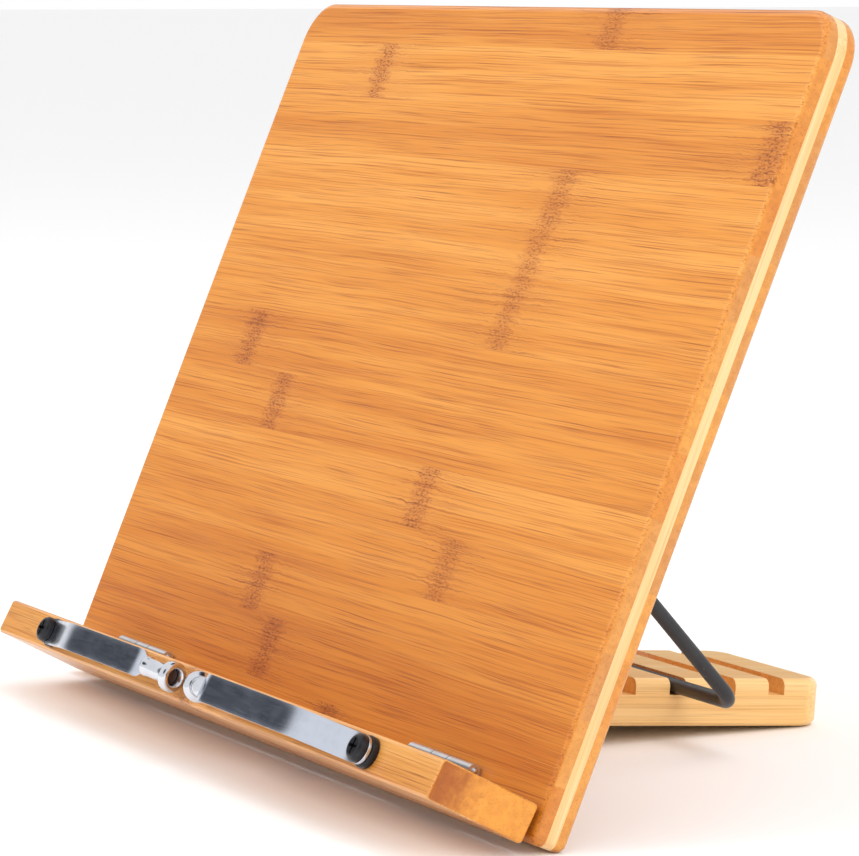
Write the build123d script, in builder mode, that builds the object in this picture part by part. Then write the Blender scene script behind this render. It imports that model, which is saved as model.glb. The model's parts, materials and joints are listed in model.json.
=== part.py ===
from build123d import *
import os
from math import cos, radians, sin

# Bamboo book stand: a leaning board, a hinged page ledge with two swinging page clips,
# and a slotted foot that a wire bail locks at one of several angles.
# Millimetres.  X runs along the board, Y runs from front to back, Z is up.
# The origin is on the table, under the middle of the stand's overall box.

# ---------------------------------------------------------------- driving dimensions
board_width = 340.0
board_height = 240.0
outer_ply = 3.9
core_ply = 3.2
board_lean = 67.2  # angle between the board and the table
board_top_radius = 14.0
board_bottom_radius = 3.0
board_edge_round = 2.5

ledge_length = 322.4
ledge_centre_x = 8.2  # the bar is mounted a little to the right of the board's middle
ledge_depth = 32.0
ledge_thickness = 11.6
ledge_tip_up = 5.1  # rise of the bar above square to the board
ledge_edge_round = 1.2
ledge_top_height = 10.6  # up the board, to the bar's top face
ledge_hinge_length = 38.5
ledge_hinge_x = (-107.8, 110.6)

knuckle_radius = 1.9
hinge_pin_radius = 1.0
leaf_thickness = 0.8
leaf_drop = 10.9  # from the pin axis to the leaf's free edge
leaf_screw_drop = 6.9
leaf_screw_from_end = 7.0
middle_knuckle_share = 0.24
knuckle_wall_gap = 0.25  # knuckle to the face the hinge is screwed to
knuckle_rise = 0.5  # knuckle above the top face of the ledge or foot
leaf_gap = 0.25  # between the two leaves

wood_screw_radius = 1.1
wood_screw_head_radius = 2.1
wood_screw_head_height = 1.2
wood_screw_length = 6.6
recess_length = 2.7
recess_width = 0.5
recess_depth = 0.6

clip_screw_x = (-106.0, 129.0)
clip_reach = 108.8  # screw axis to the end of the cap
clip_width = 8.5
clip_thickness = 1.0
clip_tab = 6.0
clip_ramp = 24.5
clip_rise = 6.6
clip_tip_angle = 20.0
clip_bend_radius = 30.0
clip_washer_radius = 4.7
clip_washer_thickness = 2.2
clip_screw_radius = 1.6
clip_screw_length = 14.0
clip_head_radius = 4.1
clip_head_height = 2.4
clip_head_round = 1.6
clip_recess_length = 4.5
clip_recess_width = 0.9
clip_recess_depth = 1.4
tongue_width = 5.2
tongue_gap = 0.5  # from the tongue's end to the cap's plug bore
shoulder_length = 4.0
clip_neck = 2.5  # narrowed strip that shows before the cap
cap_length = 13.5
cap_radius = 3.1
cap_flange_radius = 4.7
cap_flange_length = 3.2
cap_flare_length = 1.6
cap_round = 0.5
cap_bore_radius = 2.55
cap_bore_depth = 3.6
plug_length = 2.0

foot_width = 66.0
foot_length = 152.0
foot_thickness = 15.0
foot_tilt = 4.4  # the foot runs down to its rear edge
foot_corner_radius = 8.0
foot_edge_round = 2.6
foot_hinge_length = 24.0
foot_hinge_x = 18.0
slot_count = 4
slot_from_rear = 18.0
slot_pitch = 17.6
slot_play = 1.2  # slot wider than the wire
slot_cover = 0.5  # slot deeper than the wire
rest_slot = 2  # counted from the rear, starting at 0

wire_radius = 2.25
bail_width = 133.8  # between the centre lines of the two arms
bail_leg = 17.0
bail_bend_radius = 6.0
bail_pivot_height = 104.5  # up the board's back
bracket_thickness = 1.2
bracket_width = 9.0
bracket_foot = 8.0
bracket_end_gap = 1.0

origin_setback = 67.856  # from the board's lower front edge back to the origin
running_fit = 0.06
side_gap = 0.3
face_gap = 0.15

# ---------------------------------------------------------------- sizes that follow from others
pin_standoff = knuckle_radius + knuckle_wall_gap  # pin axis to the face the hinge is screwed to
pin_setback = pin_standoff - leaf_thickness - leaf_gap  # pin axis to the hinged face
pin_rise = knuckle_radius + knuckle_rise  # pin axis above the top face of the ledge or foot
slot_width = 2 * wire_radius + slot_play
slot_depth = 2 * wire_radius + slot_cover
bail_standoff = wire_radius + side_gap

# ---------------------------------------------------------------- frames
x_axis = Vector(1, 0, 0)
board_thickness = 2 * outer_ply + core_ply
lean = radians(board_lean)
board_up = Vector(0, cos(lean), sin(lean))
board_out = Vector(0, -sin(lean), cos(lean))

# A rounded lower edge lets the board and the foot settle a little closer to the table.
tilt = radians(foot_tilt)
board_settle = board_edge_round * (sin(lean) + cos(lean) - 1)
foot_settle = foot_edge_round * (sin(tilt) + cos(tilt) - 1)

# On the two board faces local y runs up the board and local z points out of the face.
board_front = Plane(origin=(0, -origin_setback, board_thickness * cos(lean) - board_settle),
                    x_dir=x_axis, z_dir=board_out)
board_back = Plane(origin=board_front.origin - board_out * board_thickness,
                   x_dir=-x_axis, z_dir=-board_out)

# The ledge turns about its pin.  Local y points at the board, local z out of the bar's top face.
ledge_turn = radians(90 - board_lean + ledge_tip_up)
ledge_up = Vector(0, sin(ledge_turn), cos(ledge_turn))
ledge_pin_height = ledge_top_height + pin_rise
ledge_pin = board_front.origin + board_up * ledge_pin_height + board_out * pin_standoff
ledge_frame = Plane(origin=ledge_pin, x_dir=x_axis, z_dir=ledge_up)

# The foot's hinge height puts the foot's rear lower edge on the table.
foot_up = Vector(0, sin(tilt), cos(tilt))
pin_to_rear = foot_length - pin_setback
pin_above_table = (pin_rise + foot_thickness) * cos(tilt) + pin_to_rear * sin(tilt) - foot_settle
foot_pin_height = (pin_above_table + board_settle + pin_standoff * cos(lean)) / sin(lean)
foot_pin = board_back.origin + board_up * foot_pin_height - board_out * pin_standoff
foot_frame = Plane(origin=foot_pin, x_dir=-x_axis, z_dir=foot_up)

# The bail runs from its pivot on the board's back down to its bar in one slot of the foot.
bar_from_rear = slot_from_rear + rest_slot * slot_pitch
bar_drop = pin_rise + slot_depth - wire_radius - side_gap
bar_point = foot_frame.from_local_coords(Vector(0, bar_from_rear - pin_to_rear, -bar_drop))
pivot_point = board_back.from_local_coords(Vector(0, bail_pivot_height, bail_standoff))
bail_arm = bar_point - pivot_point
bail_length = bail_arm.length
bail_frame = Plane(origin=pivot_point, x_dir=x_axis, z_dir=x_axis.cross(-bail_arm.normalized()))

parts = {}


def drilled(blank, cutters):
    """The blank with a seat cut for everything fastened into it."""
    with BuildPart() as finished:
        add(blank)
        for cutter in cutters:
            add(cutter, mode=Mode.SUBTRACT)
    return finished.part


# ---------------------------------------------------------------- wood screws
def wood_screws(surface, spots, recessed=True):
    """Countersunk screws flush in a surface, at local spots; without a recess, their seats."""
    downward = (Align.CENTER, Align.CENTER, Align.MAX)
    with BuildPart(surface) as screws:
        with Locations(*[(x, y, 0) for x, y in spots]):
            Cylinder(wood_screw_radius, wood_screw_length, align=downward)
            Cone(wood_screw_radius, wood_screw_head_radius, wood_screw_head_height,
                 align=downward)
            if recessed:
                for turn in (0, 90):
                    Box(recess_length, recess_width, recess_depth, rotation=(0, 0, turn),
                        align=downward, mode=Mode.SUBTRACT)
    return screws.part


# ---------------------------------------------------------------- butt hinges
def butt_hinge(name, face, pin_height, frame, x, length):
    """A three-knuckle hinge: the outer knuckles stay on the face, the middle one turns."""
    middle = length * middle_knuckle_share
    outer = (length - middle) / 2 - side_gap
    notch = knuckle_radius + side_gap
    screw_x = (x - length / 2 + leaf_screw_from_end, x + length / 2 - leaf_screw_from_end)
    fixed_side = face.offset(leaf_thickness)
    fixed_spots = [(sx, pin_height - leaf_screw_drop) for sx in screw_x]
    fixed_seats = wood_screws(fixed_side, fixed_spots, recessed=False)
    turning_side = Plane(origin=frame.from_local_coords(Vector(0, pin_setback, 0)),
                         x_dir=-frame.x_dir, z_dir=frame.y_dir)
    turning_spots = [(-sx, -leaf_screw_drop) for sx in screw_x]
    turning_seats = wood_screws(turning_side, turning_spots, recessed=False)

    with BuildPart(face) as fixed_leaf:
        with Locations((x, pin_height, 0)):
            Box(length, leaf_drop, leaf_thickness, align=(Align.CENTER, Align.MAX, Align.MIN))
            Box(middle + 2 * side_gap, notch, leaf_thickness,
                align=(Align.CENTER, Align.MAX, Align.MIN), mode=Mode.SUBTRACT)
        for side in (-1, 1):
            with Locations((x + side * (length - outer) / 2, pin_height, pin_standoff)):
                Cylinder(knuckle_radius, outer, rotation=(0, 90, 0))
        with Locations((x, pin_height, pin_standoff)):
            Cylinder(hinge_pin_radius, length + 2, rotation=(0, 90, 0), mode=Mode.SUBTRACT)

    with BuildPart(frame) as turning_leaf:
        with Locations((x, pin_setback, -hinge_pin_radius - side_gap)):
            Box(middle, leaf_thickness, leaf_drop - hinge_pin_radius - side_gap,
                align=(Align.CENTER, Align.MAX, Align.MAX))
        with Locations((x, pin_setback, -pin_rise)):
            Box(length, leaf_thickness, leaf_drop - pin_rise,
                align=(Align.CENTER, Align.MAX, Align.MAX))
        with Locations((x, 0, 0)):
            Cylinder(knuckle_radius, middle, rotation=(0, 90, 0))
            Cylinder(hinge_pin_radius + running_fit, length, rotation=(0, 90, 0),
                     mode=Mode.SUBTRACT)

    with BuildPart(frame) as pin:
        with Locations((x, 0, 0)):
            Cylinder(hinge_pin_radius, length, rotation=(0, 90, 0))
        with Locations((x - length / 2, 0, 0), (x + length / 2, 0, 0)):
            Sphere(hinge_pin_radius)

    parts[name + "_board_leaf"] = drilled(fixed_leaf.part, [fixed_seats])
    parts[name + "_board_screws"] = wood_screws(fixed_side, fixed_spots)
    parts[name + "_swing_leaf"] = drilled(turning_leaf.part, [turning_seats])
    parts[name + "_swing_screws"] = wood_screws(turning_side, turning_spots)
    parts[name + "_pin"] = pin.part
    return fixed_seats, turning_leaf.part, turning_seats


board_seats = []
ledge_cuts = []
foot_cuts = []
for side, x in zip(("left", "right"), ledge_hinge_x):
    fixed, leaf, turning = butt_hinge("ledge_hinge_" + side, board_front, ledge_pin_height,
                                      ledge_frame, x, ledge_hinge_length)
    board_seats.append(fixed)
    ledge_cuts += [leaf, turning]
for side, x in (("left", foot_hinge_x), ("right", -foot_hinge_x)):
    fixed, leaf, turning = butt_hinge("foot_hinge_" + side, board_back, foot_pin_height,
                                      foot_frame, x, foot_hinge_length)
    board_seats.append(fixed)
    foot_cuts += [leaf, turning]


# ---------------------------------------------------------------- bail and its brackets
def bail_bracket(name, x):
    """A bent strap that holds one end of the wire against the board's back."""
    inner = wire_radius + running_fit
    outer = inner + bracket_thickness
    reach = outer + bracket_foot
    section = Plane(origin=board_back.from_local_coords(Vector(x, bail_pivot_height, 0)),
                    x_dir=board_back.y_dir, z_dir=board_back.x_dir)
    screw_y = outer + bracket_foot / 2
    screw_side = board_back.offset(bracket_thickness)
    spots = [(x, bail_pivot_height - screw_y), (x, bail_pivot_height + screw_y)]
    seats = wood_screws(screw_side, spots, recessed=False)
    with BuildPart() as bracket:
        with BuildSketch(section):
            Rectangle(2 * reach, bracket_thickness, align=(Align.CENTER, Align.MIN))
            Rectangle(2 * outer, bail_standoff, align=(Align.CENTER, Align.MIN))
            with Locations((0, bail_standoff)):
                Circle(outer)
            Rectangle(2 * inner, bail_standoff, align=(Align.CENTER, Align.MIN),
                      mode=Mode.SUBTRACT)
            with Locations((0, bail_standoff)):
                Circle(inner, mode=Mode.SUBTRACT)
            Rectangle(4 * reach, 4 * reach, align=(Align.CENTER, Align.MAX), mode=Mode.SUBTRACT)
        extrude(amount=bracket_width / 2, both=True)
    parts[name] = drilled(bracket.part, [seats])
    parts[name + "_screws"] = wood_screws(screw_side, spots)
    board_seats.append(seats)


arm_x = bail_width / 2
leg_x = arm_x + bail_leg
with BuildPart() as bail:
    with BuildLine(bail_frame) as wire:
        FilletPolyline((-leg_x, 0), (-arm_x, 0), (-arm_x, -bail_length),
                       (arm_x, -bail_length), (arm_x, 0), (leg_x, 0), radius=bail_bend_radius)
    with BuildSketch(Plane(origin=wire.wire() @ 0, z_dir=wire.wire() % 0)):
        Circle(wire_radius)
    sweep(path=wire.wire())
parts["bail"] = bail.part

bracket_x = leg_x - bracket_width / 2 - bracket_end_gap
bail_bracket("bail_bracket_left", bracket_x)
bail_bracket("bail_bracket_right", -bracket_x)


# ---------------------------------------------------------------- three-ply board
def board_layer(name, depth, thickness, rounded_toward=None):
    """One ply, its outer face at a depth below the front, with its outer edges rounded."""
    with BuildPart() as ply:
        with BuildSketch(board_front.offset(-depth)) as outline:
            Rectangle(board_width, board_height, align=(Align.CENTER, Align.MIN))
            corners = outline.vertices().sort_by(Axis.Y)
            fillet(corners[-2:], board_top_radius)
            corners = outline.vertices().sort_by(Axis.Y)
            fillet(corners[:2], board_bottom_radius)
        extrude(amount=-thickness)
        if rounded_toward is not None:
            outward = Axis(board_front.origin, rounded_toward)
            fillet(ply.faces().sort_by(outward)[-1].edges(), board_edge_round)
    parts[name] = drilled(ply.part, board_seats)


board_layer("board_front_ply", 0, outer_ply, board_out)
board_layer("board_core_ply", outer_ply, core_ply)
board_layer("board_back_ply", outer_ply + core_ply, outer_ply, -board_out)


# ---------------------------------------------------------------- page clips
def page_clip(name, x, facing):
    """A sprung strip turning on one screw, with a flanged cap on its free end."""
    face_y = pin_setback - ledge_depth
    origin = ledge_frame.from_local_coords(
        Vector(x, face_y, -pin_rise - ledge_thickness / 2))
    face = Plane(origin=origin, x_dir=x_axis * facing, z_dir=-ledge_frame.y_dir)
    profile = Plane(origin=origin, x_dir=face.x_dir, z_dir=-face.y_dir)
    tab_out = clip_washer_thickness + face_gap + clip_thickness / 2
    arm_out = tab_out + clip_rise
    tip = radians(clip_tip_angle)
    cap_start = clip_reach - cap_length * cos(tip)
    cap_end_out = arm_out - cap_length * sin(tip)
    tongue = cap_length - cap_bore_depth - tongue_gap

    with BuildPart() as arm:
        with BuildSketch(profile):
            with BuildLine():
                FilletPolyline((-clip_width / 2, tab_out),
                               (clip_tab, tab_out),
                               (clip_tab + clip_ramp, arm_out),
                               (cap_start, arm_out),
                               (cap_start + tongue * cos(tip), arm_out - tongue * sin(tip)),
                               radius=clip_bend_radius)
            trace(line_width=clip_thickness)
        extrude(amount=clip_width / 2, both=True)
        with BuildSketch(face):
            shoulder = cap_start - clip_neck
            wide_end = shoulder - shoulder_length
            with BuildLine():
                Polyline((0, clip_width / 2),
                         (wide_end, clip_width / 2),
                         (shoulder, tongue_width / 2),
                         (clip_reach, tongue_width / 2),
                         (clip_reach, -tongue_width / 2),
                         (shoulder, -tongue_width / 2),
                         (wide_end, -clip_width / 2),
                         (0, -clip_width / 2),
                         close=True)
            make_face()
            Circle(clip_width / 2)
            Circle(clip_screw_radius + running_fit, mode=Mode.SUBTRACT)
        extrude(amount=2 * arm_out, mode=Mode.INTERSECT)

    axis_point = profile.from_local_coords(Vector(cap_start, arm_out, 0))
    axis_way = face.x_dir * cos(tip) - face.z_dir * sin(tip)
    cap_side = Plane(origin=axis_point, x_dir=axis_way, z_dir=face.y_dir)
    cap_axis = Axis(axis_point, axis_way)
    bore_start = cap_length - cap_bore_depth
    flange_start = cap_length - cap_flange_length
    with BuildPart() as cap:
        with BuildSketch(cap_side):
            with BuildLine():
                Polyline((0, 0),
                         (0, cap_radius - cap_round),
                         (cap_round, cap_radius),
                         (flange_start - cap_flare_length, cap_radius),
                         (flange_start, cap_flange_radius - cap_round),
                         (flange_start + cap_round, cap_flange_radius),
                         (cap_length - cap_round, cap_flange_radius),
                         (cap_length, cap_flange_radius - cap_round),
                         (cap_length, cap_bore_radius),
                         (bore_start, cap_bore_radius),
                         (bore_start, 0),
                         close=True)
            make_face()
        revolve(axis=cap_axis)
    with BuildPart() as plug:
        with BuildSketch(cap_side):
            with Locations((bore_start, 0)):
                Rectangle(plug_length, cap_bore_radius, align=(Align.MIN, Align.MIN))
        revolve(axis=cap_axis)

    head_out = tab_out + clip_thickness / 2 + face_gap
    with BuildPart() as screw:
        with BuildSketch(face.offset(-clip_screw_length)):
            Circle(clip_screw_radius)
        extrude(amount=clip_screw_length + head_out)
        with BuildSketch(face.offset(head_out)):
            Circle(clip_head_radius)
        extrude(amount=clip_head_height)
        fillet(screw.faces().sort_by(Axis(origin, face.z_dir))[-1].edges(), clip_head_round)
        with BuildSketch(face.offset(head_out + clip_head_height)):
            Rectangle(clip_recess_length, clip_recess_width)
            Rectangle(clip_recess_width, clip_recess_length)
        extrude(amount=-clip_recess_depth, mode=Mode.SUBTRACT)
    with BuildPart() as washer:
        with BuildSketch(face):
            Circle(clip_washer_radius)
            Circle(clip_screw_radius, mode=Mode.SUBTRACT)
        extrude(amount=clip_washer_thickness)

    parts[name + "_arm"] = arm.part
    parts[name + "_cap"] = drilled(cap.part, [arm.part])
    parts[name + "_plug"] = plug.part
    parts[name + "_screw"] = screw.part
    parts[name + "_washer"] = washer.part
    ledge_cuts.append(screw.part)


page_clip("clip_left", clip_screw_x[0], 1)
page_clip("clip_right", clip_screw_x[1], -1)

# ---------------------------------------------------------------- ledge bar
with BuildPart(ledge_frame) as ledge_bar:
    with Locations((ledge_centre_x, pin_setback, -pin_rise)):
        Box(ledge_length, ledge_depth, ledge_thickness,
            align=(Align.CENTER, Align.MAX, Align.MAX))
    fillet(ledge_bar.edges(), ledge_edge_round)
parts["ledge_bar"] = drilled(ledge_bar.part, ledge_cuts)

# ---------------------------------------------------------------- slotted foot
with BuildPart(foot_frame) as foot_block:
    with Locations((0, pin_setback, -pin_rise)):
        Box(foot_width, foot_length, foot_thickness, align=(Align.CENTER, Align.MAX, Align.MAX))
    rear_face = foot_block.faces().sort_by(Axis.Y)[-1]
    fillet(rear_face.edges().filter_by(Axis(foot_pin, foot_up)), foot_corner_radius)
    levels = foot_block.faces().sort_by(Axis(foot_pin, foot_up))
    front_y = (foot_pin + foot_frame.y_dir * pin_setback).Y
    rims = (levels[0].edges() + levels[-1].edges()).filter_by(
        lambda rim: rim.bounding_box().max.Y > front_y + foot_thickness)
    fillet(rims, foot_edge_round)
    for slot in range(slot_count):
        with Locations((0, slot_from_rear + slot * slot_pitch - pin_to_rear, -pin_rise)):
            Box(foot_width * 2, slot_width, slot_depth * 2, mode=Mode.SUBTRACT)
parts["foot_block"] = drilled(foot_block.part, foot_cuts)

# ---------------------------------------------------------------- export
os.makedirs("parts", exist_ok=True)
for name, part in parts.items():
    part.label = name
    export_step(part, "parts/" + name + ".step")

whole = Compound(children=list(parts.values())).bounding_box()
print(len(parts), "parts in a box from", whole.min, "to", whole.max)
for name, point in (("ledge pin", ledge_pin), ("foot pin", foot_pin), ("bail pivot", pivot_point)):
    print(name, [round(value, 3) for value in point])
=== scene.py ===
import json
import math

import bmesh
import bpy
from mathutils import Matrix, Vector


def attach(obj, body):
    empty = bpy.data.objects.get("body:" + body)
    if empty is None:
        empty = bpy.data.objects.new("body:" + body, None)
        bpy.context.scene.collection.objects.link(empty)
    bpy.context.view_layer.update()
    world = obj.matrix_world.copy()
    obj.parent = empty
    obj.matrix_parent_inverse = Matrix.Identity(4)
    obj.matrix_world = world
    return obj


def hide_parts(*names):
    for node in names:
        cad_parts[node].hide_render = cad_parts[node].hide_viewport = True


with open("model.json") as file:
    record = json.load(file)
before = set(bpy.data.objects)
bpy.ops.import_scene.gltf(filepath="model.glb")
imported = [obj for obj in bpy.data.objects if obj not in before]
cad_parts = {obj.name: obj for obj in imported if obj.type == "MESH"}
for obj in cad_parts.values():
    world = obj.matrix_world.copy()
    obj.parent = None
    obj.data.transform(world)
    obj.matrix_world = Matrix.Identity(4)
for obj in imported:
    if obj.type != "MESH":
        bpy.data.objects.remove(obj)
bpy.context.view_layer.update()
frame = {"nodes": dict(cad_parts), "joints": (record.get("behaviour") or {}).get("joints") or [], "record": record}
joints = {joint["name"]: joint for joint in frame["joints"]}
mounts = {mount["name"]: mount for mount in frame["record"]["mounts"]}
mm = 0.001


# ---------------------------------------------------------------- table, lamps and camera
# The stand is seen on a pale table from low down and far to its right, as a long lens
# shows it.  Three large soft lamps and a white room light it.  The room also has dark
# screens that only reflections see.  They give the steel strips their slate tone in this
# view, and metal and lacquered wood both reflect them.
camera_place = Vector((1.155967, -0.580878, 0.232313))
camera_turn_deg = 63.91
camera_dip_deg = 6.03
camera_focal = 177.9
table_pale = (0.93, 0.93, 0.93, 1)
room_pale = (1.0, 1.0, 1.0)
room_strength = 1.0
screen_dark = (0.03, 0.036, 0.05)
# Each screen's direction and half its width in degrees.
dark_screens = (((-0.907, -0.354, 0.226), 12), ((-0.86, 0.46, 0.22), 10),
                ((0.3, -0.75, 0.6), 15), ((0.0, 0.4, 0.9), 16))
screen_outer = 1.5  # where a screen's soft edge starts and ends, as shares of its half width
screen_inner = 0.7


def soft_lamp(name, place, aim, width, height, watts):
    """A rectangular studio lamp that points at a place and that no piece reflects."""
    lamp = bpy.data.lights.new(name, "AREA")
    lamp.shape = "RECTANGLE"
    lamp.size = width
    lamp.size_y = height
    lamp.energy = watts
    stand = bpy.data.objects.new(name, lamp)
    bpy.context.collection.objects.link(stand)
    stand.location = place
    stand.rotation_euler = (Vector(aim) - Vector(place)).to_track_quat("-Z", "Y").to_euler()
    stand.visible_glossy = False


class Wire:
    """One value running through a finish: a sum written on it adds the nodes for it."""

    def __init__(self, finish, socket):
        self.finish = finish
        self.socket = socket

    def math(self, operation, *values):
        return self.finish.add("ShaderNodeMath", {"operation": operation}, values)

    def __add__(self, other):
        return self.math("ADD", self, other)

    def __sub__(self, other):
        return self.math("SUBTRACT", self, other)

    def __rsub__(self, other):
        return self.math("SUBTRACT", other, self)

    def __mul__(self, other):
        return self.math("MULTIPLY", self, other)

    def __truediv__(self, other):
        return self.math("DIVIDE", self, other)

    def __abs__(self):
        return self.math("ABSOLUTE", self)

    __radd__ = __add__
    __rmul__ = __mul__


class Finish:
    """A procedural material or room light, built one node at a time."""

    def __init__(self, owner):
        self.material = owner
        owner.use_nodes = True
        self.tree = owner.node_tree
        self.tree.nodes.clear()

    def add(self, kind, settings, values, output=0):
        """One node: its settings, then its values or links.  Gives the wire of one output."""
        node = self.tree.nodes.new(kind)
        for setting, choice in settings.items():
            if setting == "stops":
                self.set_stops(node.color_ramp, choice)
            else:
                setattr(node, setting, choice)
        sockets = values.items() if isinstance(values, dict) else enumerate(values)
        for socket, value in sockets:
            if isinstance(value, Wire):
                self.tree.links.new(value.socket, node.inputs[socket])
            else:
                node.inputs[socket].default_value = value
        return Wire(self, node.outputs[output])

    def set_stops(self, ramp, stops):
        while len(ramp.elements) < len(stops):
            ramp.elements.new(1)
        for element, (position, colour) in zip(ramp.elements, stops):
            element.position = position
            element.color = (*colour, 1)

    def measured(self, origin, along, across):
        """Millimetres along, across and out of a piece, from its own corner."""
        turn = Matrix((along, across, along.cross(across)))
        return self.add("ShaderNodeMapping", {}, {
            "Vector": self.add("ShaderNodeTexCoord", {}, (), "Object"),
            "Location": turn @ origin / -mm,
            "Rotation": turn.to_euler(),
            "Scale": (1 / mm, 1 / mm, 1 / mm)})

    def split(self, place):
        return [self.add("ShaderNodeSeparateXYZ", {}, (place,), axis) for axis in "XYZ"]

    def join(self, x, y, z):
        return self.add("ShaderNodeCombineXYZ", {}, (x, y, z))

    def noise(self, place, size, detail=2.0, roughness=0.5):
        """Cloudy noise, 0 to 1, whose lumps have a size in millimetres."""
        lumps = self.add("ShaderNodeMapping", {}, {
            "Vector": place, "Scale": [1 / length for length in size]})
        return self.add("ShaderNodeTexNoise", {}, {
            "Vector": lumps, "Scale": 1.0, "Detail": detail, "Roughness": roughness})

    def luck(self, value):
        """A fixed random number for each whole number."""
        return self.add("ShaderNodeTexWhiteNoise", {"noise_dimensions": "1D"}, {"W": value})

    def fade(self, value, start, end):
        """0 at start to 1 at end, with soft ends."""
        return self.add("ShaderNodeMapRange", {"interpolation_type": "SMOOTHSTEP"}, {
            "Value": value, "From Min": start, "From Max": end, "To Min": 0.0, "To Max": 1.0})

    def ramp(self, value, stops, blend="LINEAR"):
        wire = self.add("ShaderNodeValToRGB", {"stops": stops}, {"Fac": value})
        wire.socket.node.color_ramp.interpolation = blend
        return wire

    def tint(self, share, first, second, blend="MIX"):
        """The second colour over the first by a share."""
        colours = [value if isinstance(value, Wire) else (*value, 1)
                   for value in (first, second)]
        return self.add("ShaderNodeMix", {"data_type": "RGBA", "blend_type": blend}, {
            0: share, 6: colours[0], 7: colours[1]}, 2)

    def bump(self, height, depth):
        """Relief, with its full depth in millimetres."""
        return self.add("ShaderNodeBump", {}, {
            "Height": height, "Distance": depth * mm, "Strength": 1.0})

    def surface(self, sockets):
        """Ends the finish with its shader and gives the material."""
        shader = self.add("ShaderNodeBsdfPrincipled", {}, sockets)
        end = self.tree.nodes.new("ShaderNodeOutputMaterial")
        self.tree.links.new(shader.socket, end.inputs["Surface"])
        return self.material


middle = Vector((0, 0, 0.11))
soft_lamp("front_lamp", (-0.6, -1.9, 1.5), middle, 1.6, 1.2, 24)
soft_lamp("side_lamp", (1.7, 0.1, 1.1), middle, 1.0, 1.4, 9)
soft_lamp("top_lamp", (0.2, 0.6, 1.9), middle, 1.4, 1.0, 8)

room = Finish(bpy.data.worlds.new("room"))
way = room.add("ShaderNodeTexCoord", {}, (), "Generated")
mirrored = room.add("ShaderNodeLightPath", {}, (), "Is Glossy Ray")
shade = 0.0
for screen_way, half_angle in dark_screens:
    aim = Vector(screen_way).normalized()
    toward = room.add("ShaderNodeVectorMath", {"operation": "DOT_PRODUCT"}, (way, aim), "Value")
    edge = math.radians(half_angle)
    shade = room.fade(toward, math.cos(edge * screen_outer),
                      math.cos(edge * screen_inner)) + shade
glow = room.add("ShaderNodeBackground", {}, {
    "Color": room.tint(shade * mirrored, room_pale, screen_dark), "Strength": room_strength})
room_end = room.tree.nodes.new("ShaderNodeOutputWorld")
room.tree.links.new(glow.socket, room_end.inputs["Surface"])
bpy.context.scene.world = room.material

lens = bpy.data.cameras.new("camera")
lens.sensor_width = 36
lens.lens = camera_focal
lens.clip_end = 100
camera = bpy.data.objects.new("camera", lens)
bpy.context.collection.objects.link(camera)
camera.location = camera_place
camera.rotation_euler = (math.radians(90 - camera_dip_deg), 0, math.radians(camera_turn_deg))
bpy.context.scene.camera = camera
bpy.context.scene.view_settings.view_transform = "Standard"


def coat(material, *nodes):
    """Gives a finish to CAD pieces that keep their own shape."""
    for node in nodes:
        slots = frame["nodes"][node].data.materials
        slots.clear()
        slots.append(material)


# ---------------------------------------------------------------- three-ply board
# The board is pressed from three layers of bamboo strips.  The outer layers are steamed
# to a caramel colour and run across the board, the pale core runs up it, and the whole
# board is sanded round at its edges and lacquered.  The front is painted deeper towards its
# lower edge.
strip_width = 19.0
first_strip = -2.2
strip_joints = (28, -27, -49, 67, 37, -84, -120, 48, 50, 52, 163, -98, 47)
board_half = 170.0
face_mount_up = 0.140  # the book face's place above the board's lower edge, in metres
caramel = ((0.60, 0.205, 0.030), (0.69, 0.270, 0.044), (0.77, 0.345, 0.074))
back_caramel = ((0.52, 0.18, 0.028), (0.62, 0.24, 0.040), (0.70, 0.30, 0.060))
caramel_ends = ((0.64, 0.21, 0.030), (0.74, 0.32, 0.060), (0.62, 0.26, 0.070))
core_pale = ((0.83, 0.48, 0.18), (0.89, 0.57, 0.26), (0.92, 0.64, 0.34))
core_ends = ((0.83, 0.48, 0.19), (0.89, 0.56, 0.26), (0.92, 0.62, 0.32))
streak_stain = (0.60, 0.42, 0.26)
joint_stain = (0.74, 0.60, 0.58)
# Multiplied into the front ply towards its lower edge, so the board turns a deeper orange low down.
lower_edge_deepening = (0.84, 0.68, 0.34)
# Darkens the ledge's cut ends to brown along the side furthest from its hinge pin.
end_darkening = (0.50, 0.32, 0.12)
fleck_stain = (0.42, 0.27, 0.20)

x_way = Vector((1, 0, 0))
board_out = Vector(mounts["book_face"]["axis"])
board_up = board_out.cross(x_way)
board_corner = Vector(mounts["book_face"]["pos_m"]) - face_mount_up * board_up


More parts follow.
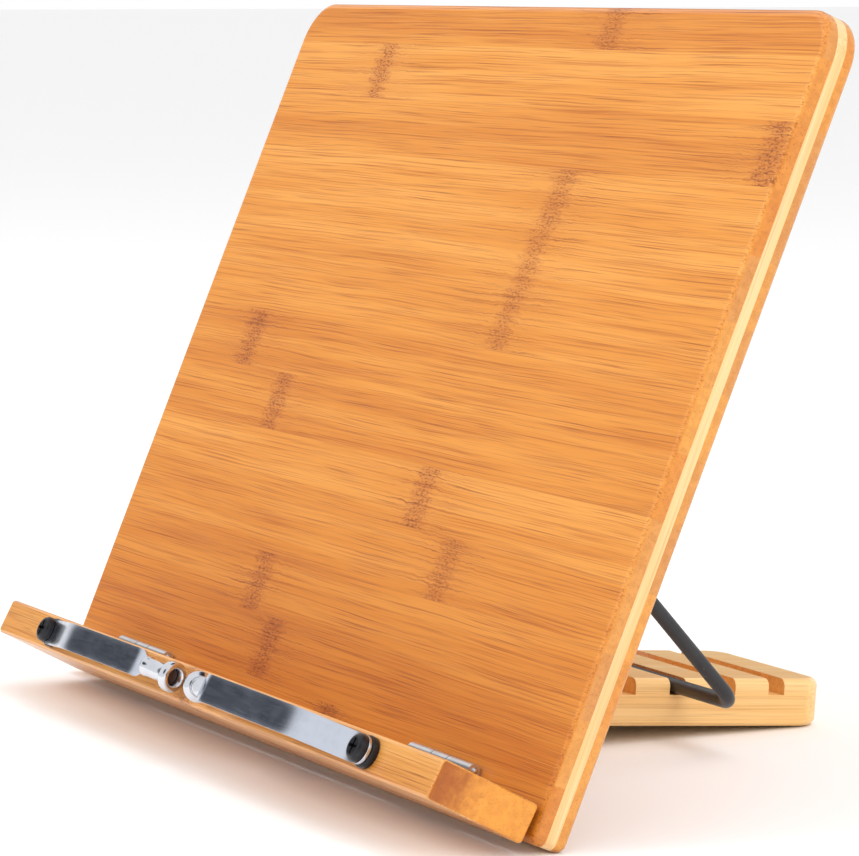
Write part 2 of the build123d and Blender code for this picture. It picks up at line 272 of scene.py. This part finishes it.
def bamboo(name, origin, along, across, strip, joints_at, tones, ends, streaks=1.0, seed=0,
           lower=0.0, darkened_end_from=None):
    """Strips of bamboo side by side, each with its fibres, dark streaks and one joint.

    The strip is its width and the first one's start, and joints_at is either the joint places
    or the length over which they are spread at random.
    """
    wood = Finish(bpy.data.materials.new(name))
    width, start = strip
    x, u, depth = wood.split(wood.measured(origin, along, across))
    place = wood.join(x, u, depth)
    lane_place = (u - start) / width
    lane = lane_place.math("FLOOR", lane_place)
    lane_share = lane_place.math("FRACT", lane_place)
    seam = wood.fade(abs(lane_share - 0.5), 0.485, 0.5)

    if isinstance(joints_at, tuple):
        count = len(joints_at)
        stops = [(row / count, [(at + board_half) / (2 * board_half)] * 3)
                 for row, at in enumerate(joints_at)]
        joint = wood.ramp((lane + 0.5) / count, stops, "CONSTANT") * (2 * board_half) - board_half
    else:
        joint = (wood.luck(lane + (seed + 0.5)) - 0.5) * joints_at
    # A ragged dark patch at each joint.
    ragged = (wood.noise(place, (9, 1.6, 1.6), 2.0) - 0.5) * 17
    gap = abs(x - joint + (wood.noise(place, (40, 7, 7)) - 0.5) * 12)
    strength = 0.7 + 0.3 * wood.luck(lane + (seed + 5.5))
    near = wood.fade(abs(x - joint + ragged), 9.5, 1.5) * strength
    around = wood.fade(gap, 42, 5)

    # Fibres, threads and bands along the strip, which curl around its joint.
    sway = (wood.noise(place, (110, 16, 16)) - 0.5) * 2.4
    curl = (wood.noise(place, (5, 2.0, 2.0)) - 0.5) * around * 1.5
    drawn = wood.join(x, u + sway + curl, depth)
    fibre = wood.noise(drawn, (85, 0.62, 0.62), 3.0, 0.66)
    streak = wood.fade(fibre, 0.46, 0.70) * streaks
    thread = wood.fade(wood.noise(drawn, (46, 0.34, 0.34), 1.0), 0.58, 0.72) * streaks
    gleam = wood.fade(wood.noise(drawn, (70, 0.8, 0.8), 2.0), 0.50, 0.70)
    band = wood.fade(wood.noise(drawn, (190, 6.5, 6.5), 2.0), 0.30, 0.70)
    dash = wood.fade(wood.noise(place, (1.7, 0.6, 0.6), 2.0), 0.50, 0.60) * near
    bright = wood.fade(wood.noise(place, (2.0, 0.6, 0.6), 1.0), 0.62, 0.72) * near

    # The colour of the long faces.
    lane_luck = wood.luck(lane + (seed + 7.5))
    tone = lane_luck * 0.42 + band * 0.58
    body = wood.ramp(tone, list(zip((0.0, 0.5, 1.0), tones)))
    body = wood.tint(gleam * 0.35, body, tones[2])
    # The front ply turns a deeper orange towards its lower edge.
    body = wood.tint(wood.fade(u, 120, -10) * lower, body, lower_edge_deepening, "MULTIPLY")
    body = wood.tint(streak * 0.74, body, streak_stain, "MULTIPLY")
    body = wood.tint(thread * 0.62, body, fleck_stain, "MULTIPLY")
    body = wood.tint(around * 0.16 + near * 0.58, body, joint_stain, "MULTIPLY")
    body = wood.tint(dash * 0.80, body, fleck_stain, "MULTIPLY")
    body = wood.tint(bright * 0.45, body, tones[2])
    body = wood.tint(seam * 0.12, body, streak_stain, "MULTIPLY")

    # The colour of the cut ends, with their pores.
    facing = wood.add("ShaderNodeTexCoord", {}, (), "Normal")
    toward = wood.add("ShaderNodeVectorMath", {"operation": "DOT_PRODUCT"},
                      (facing, along), "Value")
    end = wood.fade(abs(toward), 0.55, 0.86)
    pores = wood.add("ShaderNodeTexVoronoi", {}, {
        "Vector": wood.join(x * 0.05, u / 0.95, depth / 0.7), "Scale": 1.0})
    pore = wood.fade(pores, 0.34, 0.16) * (0.35 + 0.65 * near)
    cut = wood.ramp(wood.luck(lane + (seed + 3.5)), list(zip((0.0, 0.5, 1.0), ends)))
    cut = wood.tint(wood.fade(wood.noise(place, (4, 2.2, 2.2)), 0.35, 0.65) * 0.25,
                    cut, streak_stain, "MULTIPLY")
    cut = wood.tint(pore * 0.7, cut, fleck_stain, "MULTIPLY")
    # A darker brown patch on the cut ends, from a given place across the piece onwards.
    if darkened_end_from is not None:
        mottled = u + (wood.noise(place, (5, 3, 3)) - 0.5) * 12
        cut = wood.tint(wood.fade(mottled, darkened_end_from + 8, darkened_end_from - 6), cut, end_darkening,
                        "MULTIPLY")
    colour = wood.tint(end, body, cut)

    relief = 1 - streak * 0.4 - thread * 0.4 - dash * 0.6 - pore * end * 0.6 - seam * 0.3
    rough = 0.36 + streak * 0.10 + near * 0.08 + end * 0.06
    return wood.surface({
        "Base Color": colour, "Roughness": rough, "Normal": wood.bump(relief, 0.05),
        "Coat Weight": 0.3, "Coat Roughness": 0.14, "Specular IOR Level": 0.35})


board_strips = (strip_width, first_strip)
core_strips = (14.0, 0.0)
back_joint_spread = 300.0
core_joint_spread = 900.0
coat(bamboo("caramel_bamboo", board_corner, x_way, board_up, board_strips, strip_joints,
            caramel, caramel_ends, lower=0.95), "board_front_ply")
coat(bamboo("caramel_bamboo_back", board_corner, x_way, board_up, board_strips,
            back_joint_spread, back_caramel, caramel_ends, seed=20), "board_back_ply")
coat(bamboo("pale_bamboo", board_corner, board_up, -x_way, core_strips, core_joint_spread,
            core_pale, core_ends, streaks=0.45, seed=40), "board_core_ply")


# ---------------------------------------------------------------- page ledge
# A bar of the same bamboo, sawn from thicker stock and hinged to the board's lower edge.
# Its edges are only broken with sandpaper, and a brown patch is painted on its ends.
ledge_tones = ((0.57, 0.22, 0.040), (0.68, 0.31, 0.075), (0.77, 0.40, 0.12))
ledge_ends = ((0.73, 0.28, 0.030), (0.80, 0.32, 0.040), (0.77, 0.30, 0.034))
ledge_strips = (16.0, -31.0)
ledge_joint_spread = 290.0
patch_edge = -22.0
ledge_up = Vector(mounts["ledge_top"]["axis"])
ledge_back = ledge_up.cross(x_way)
ledge_pin = Vector(joints["ledge_fold"]["pos_m"])
coat(bamboo("ledge_bamboo", ledge_pin, x_way, ledge_back, ledge_strips, ledge_joint_spread,
            ledge_tones, ledge_ends, seed=60, darkened_end_from=patch_edge), "ledge_bar")


# ---------------------------------------------------------------- slotted foot
# The foot is natural, unsteamed bamboo, so it is the palest piece, and its colour is made
# paler still with painted light, for the light that falls on it.  Its strips run to the rear,
# and its slots are sawn straight across them.
foot_tilt = math.radians(4.4)
# Partly the unsteamed bamboo's own pale colour, partly painted light that brightens the foot.
foot_tones = ((0.88, 0.50, 0.16), (0.93, 0.58, 0.22), (0.95, 0.66, 0.30))
foot_ends = ((0.84, 0.48, 0.16), (0.88, 0.54, 0.20), (0.80, 0.44, 0.14))
foot_strips = (16.5, -33.0)
foot_joint_spread = 130.0
foot_rear = Vector((0, math.cos(foot_tilt), -math.sin(foot_tilt)))
foot_pin = Vector(joints["foot_open"]["pos_m"])
coat(bamboo("foot_bamboo", foot_pin, foot_rear, x_way, foot_strips, foot_joint_spread,
            foot_tones, foot_ends, streaks=0.5, seed=83), "foot_block")


# ---------------------------------------------------------------- page clips
# Each clip is a sprung strip of polished steel that turns on one domed screw over a thick
# washer.  It rises off the ledge, lies along it and dips into a turned bright cap whose open
# end is closed by a rubber plug; the plug's dark brown-black is partly its own colour and
# partly painted shade for the inside of the cap's bore.  The steel itself is light: the dark
# screens make it slate.
strip_radius = 4.25
strip_thick = 1.0
strip_off = 2.35  # from the ledge to the strip's underside at the screw
strip_rise = 6.6
ramp_from = 6.0
tab_bend = 8.0
ramp_to = 30.5
ramp_bend = 20.0
neck_from = 92.6
neck_to = 95.6
neck_half = 2.6
strip_bow = 1.49  # the strip's extra rise before its dip, which the CAD strip doesn't have
dip_from = 92.0
dip_bend = 11.0
cap_from = 96.1
dip_deg = 20.0
strip_end = 104.5
round_steps = 10
straight_steps = 96

washer_outline = ((0, 1.7), (0, 4.7), (2.2, 4.7), (2.2, 1.7))
cap_outline = ((0, 0), (0, 3.0), (1.0, 3.1), (1.4, 2.8), (8.3, 2.9), (8.7, 3.1), (9.3, 3.1),
               (9.7, 3.4), (10.5, 4.5), (10.9, 4.7), (12.8, 4.7), (13.5, 4.1), (13.5, 3.1),
               (12.9, 2.6), (9.9, 2.55), (9.9, 0))
plug_outline = ((0.02, 0), (0.02, 2.5), (1.2, 2.5), (1.6, 1.9), (1.8, 0))
plug_from = 9.9

sharp_turn = math.radians(50)

slate_steel = (0.60, 0.64, 0.73)
bright_steel = (0.66, 0.68, 0.73)
black_enamel = (0.022, 0.022, 0.026)
# Partly the plug's own colour, partly painted shade for the inside of the cap's bore.
plug_black_and_bore_shade = (0.035, 0.012, 0.008)


def metal(name, colour, roughness, metallic=1.0, grain=(9, 0.4, 0.4), wear=0.3, coated=0.0):
    """Plated or enamelled steel with fine drawing lines, smudges and dull patches."""
    steel = Finish(bpy.data.materials.new(name))
    place = steel.measured(Vector((0, 0, 0)), x_way, Vector((0, 1, 0)))
    lines = steel.noise(place, grain, 3.0, 0.6)
    smudge = steel.fade(steel.noise(place, (7, 5, 5), 3.0), 0.4, 0.7)
    nick = steel.fade(steel.noise(place, (1.6, 1.2, 1.2), 2.0), 0.66, 0.74)
    shade = steel.tint(smudge * wear, colour, [channel * 0.6 for channel in colour])
    shade = steel.tint(nick * wear * 0.6, shade, [channel * 0.5 + 0.12 for channel in colour])
    return steel.surface({
        "Base Color": shade, "Metallic": metallic,
        "Roughness": roughness + (lines - 0.5) * 0.12 + smudge * wear * 0.2,
        "Normal": steel.bump(lines * 0.5 - nick * 0.5, 0.008),
        "Coat Weight": coated, "Coat Roughness": 0.2})


def turned(outline, steps=64):
    """A solid turned on a lathe about its own x, from its outline of places and radii."""
    shape = bmesh.new()
    corners = [shape.verts.new((x, radius, 0)) for x, radius in outline]
    edges = [shape.edges.new(pair) for pair in zip(corners, corners[1:])]
    if outline[0][1] > 0:
        edges.append(shape.edges.new((corners[-1], corners[0])))
    bmesh.ops.spin(shape, geom=corners + edges, cent=(0, 0, 0), axis=(1, 0, 0),
                   angle=2 * math.pi, steps=steps, use_merge=True)
    return shape


def finish_piece(name, shape, place, edge_break, material, body, node):
    """Breaks a shape's sharp edges, puts it in its place, hangs it on its body and hides the node's CAD part."""
    bmesh.ops.remove_doubles(shape, verts=shape.verts, dist=0.001)
    bmesh.ops.dissolve_degenerate(shape, edges=shape.edges, dist=0.001)
    bmesh.ops.recalc_face_normals(shape, faces=shape.faces)
    sharp = [edge for edge in shape.edges if edge.calc_face_angle(0) > sharp_turn]
    bmesh.ops.bevel(shape, geom=sharp, offset=edge_break, segments=2, profile=0.5,
                    affect="EDGES", material=-1, clamp_overlap=True)
    for face in shape.faces:
        face.smooth = True
    shape.transform(place)
    mesh = bpy.data.meshes.new(name)
    shape.to_mesh(mesh)
    shape.free()
    mesh.materials.append(material)
    piece = bpy.data.objects.new(name, mesh)
    bpy.context.collection.objects.link(piece)
    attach(piece, body)
    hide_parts(node)


def ease(share):
    share = min(max(share, 0.0), 1.0)
    return share * share * (3 - 2 * share)


def bent(x, at, soft, slope):
    """The rise of a strip after a bend to a slope that is spread over a soft length."""
    share = (x - at) / soft + 0.5
    if share <= 0:
        return 0.0
    if share >= 1:
        return (share - 0.5) * soft * slope
    return (share ** 3 - share ** 4 / 2) * soft * slope


def strip_shape():
    """The flat strip with its round end and narrow neck, then bent to its side view."""
    steps = round_steps + straight_steps
    strip = bmesh.new()
    bmesh.ops.create_grid(strip, x_segments=steps, y_segments=4, size=0.5)
    for corner in strip.verts:
        step = round((corner.co.x + 0.5) * steps)
        if step < round_steps:
            turn = math.pi / 2 * step / round_steps
            x = -strip_radius * math.cos(turn)
            half = strip_radius * math.sin(turn)
        else:
            x = strip_end * (step - round_steps) / straight_steps
            neck = ease((x - neck_from) / (neck_to - neck_from))
            half = strip_radius + (neck_half - strip_radius) * neck
        corner.co = (x, corner.co.y * 2 * half, 0)
    upper = bmesh.ops.extrude_face_region(strip, geom=strip.faces[:])["geom"]
    raised = [corner for corner in upper if isinstance(corner, bmesh.types.BMVert)]
    bmesh.ops.translate(strip, vec=(0, 0, strip_thick), verts=raised)
    ramp = strip_rise / (ramp_to - ramp_from)
    bow = strip_bow / (dip_from - ramp_to)
    dip = math.tan(math.radians(dip_deg)) + bow
    for corner in strip.verts:
        x = corner.co.x
        corner.co.z += (strip_off + bent(x, ramp_from, tab_bend, ramp)
                        - bent(x, ramp_to, ramp_bend, ramp - bow)
                        - bent(x, dip_from, dip_bend, dip))
    return strip


clip_steel = metal("slate_spring_steel", slate_steel, 0.20, grain=(14, 0.5, 0.5), wear=0.15)
cap_steel = metal("bright_cap_steel", bright_steel, 0.12, grain=(3, 1, 1), wear=0.2)
black_oxide = metal("black_oxide", black_enamel, 0.30, metallic=0.6, grain=(1, 1, 1))
# The plug's finish carries painted shade for the cap's bore as well as the plug's own dark colour.
plug_rubber_and_bore_shade = metal("plug_rubber_and_bore_shade", plug_black_and_bore_shade, 0.5, metallic=0.0, grain=(0.6, 0.6, 0.6))
clip_out = ledge_up.cross(x_way) * -1
for side, facing in (("left", 1), ("right", -1)):
    clip = "clip_" + side
    along = x_way * facing
    stand = Matrix((along, clip_out.cross(along), clip_out)).transposed().to_4x4()
    bench = Matrix.Translation(joints[clip + "_swing"]["pos_m"]) @ stand @ Matrix.Scale(mm, 4)
    lathe_out = bench @ Matrix.Rotation(math.radians(-90), 4, "Y")
    cap_centre = Vector((cap_from, 0, strip_off + strip_rise + strip_thick / 2))
    cap_place = bench @ Matrix.Translation(cap_centre) @ Matrix.Rotation(
        math.radians(dip_deg), 4, "Y")
    finish_piece(clip + "_spring_strip", strip_shape(), bench, 0.2, clip_steel, clip,
                 clip + "_arm")
    finish_piece(clip + "_turned_cap", turned(cap_outline), cap_place, 0.15, cap_steel, clip,
                 clip + "_cap")
    finish_piece(clip + "_rubber_plug", turned(plug_outline),
                 cap_place @ Matrix.Translation((plug_from, 0, 0)), 0.1, plug_rubber_and_bore_shade, clip,
                 clip + "_plug")
    finish_piece(clip + "_spacer", turned(washer_outline), lathe_out, 0.35, black_oxide,
                 "ledge", clip + "_washer")
    coat(black_oxide, clip + "_screw")


# ---------------------------------------------------------------- hinges and their screws
# Zinc-plated butt hinges join the ledge and the foot to the board.  Their barrels stand
# above the wood, and their leaves are let in and fixed by small countersunk screws.
zinc = (0.66, 0.66, 0.68)
zinc_plate = metal("zinc_plate", zinc, 0.30)
coat(zinc_plate, *[node for node in frame["nodes"] if "hinge" in node])


# ---------------------------------------------------------------- wire bail
# One bent rod in black enamel, held to the board's back by two bent straps.
enamel_grey = (0.020, 0.020, 0.024)
wire_enamel = metal("wire_enamel", enamel_grey, 0.42, metallic=0.0, grain=(2, 2, 2), coated=0.1)
coat(wire_enamel, *[node for node in frame["nodes"] if node.startswith("bail")])


# ---------------------------------------------------------------- table top
table_half = 30
table_mesh = bpy.data.meshes.new("table")
table_shape = bmesh.new()
bmesh.ops.create_grid(table_shape, x_segments=1, y_segments=1, size=table_half)
table_shape.to_mesh(table_mesh)
table_shape.free()
table = bpy.data.objects.new("table", table_mesh)
bpy.context.collection.objects.link(table)
table_finish = Finish(bpy.data.materials.new("pale_table"))
table_mesh.materials.append(table_finish.surface({
    "Base Color": table_pale, "Roughness": 0.7, "Specular IOR Level": 0.2}))
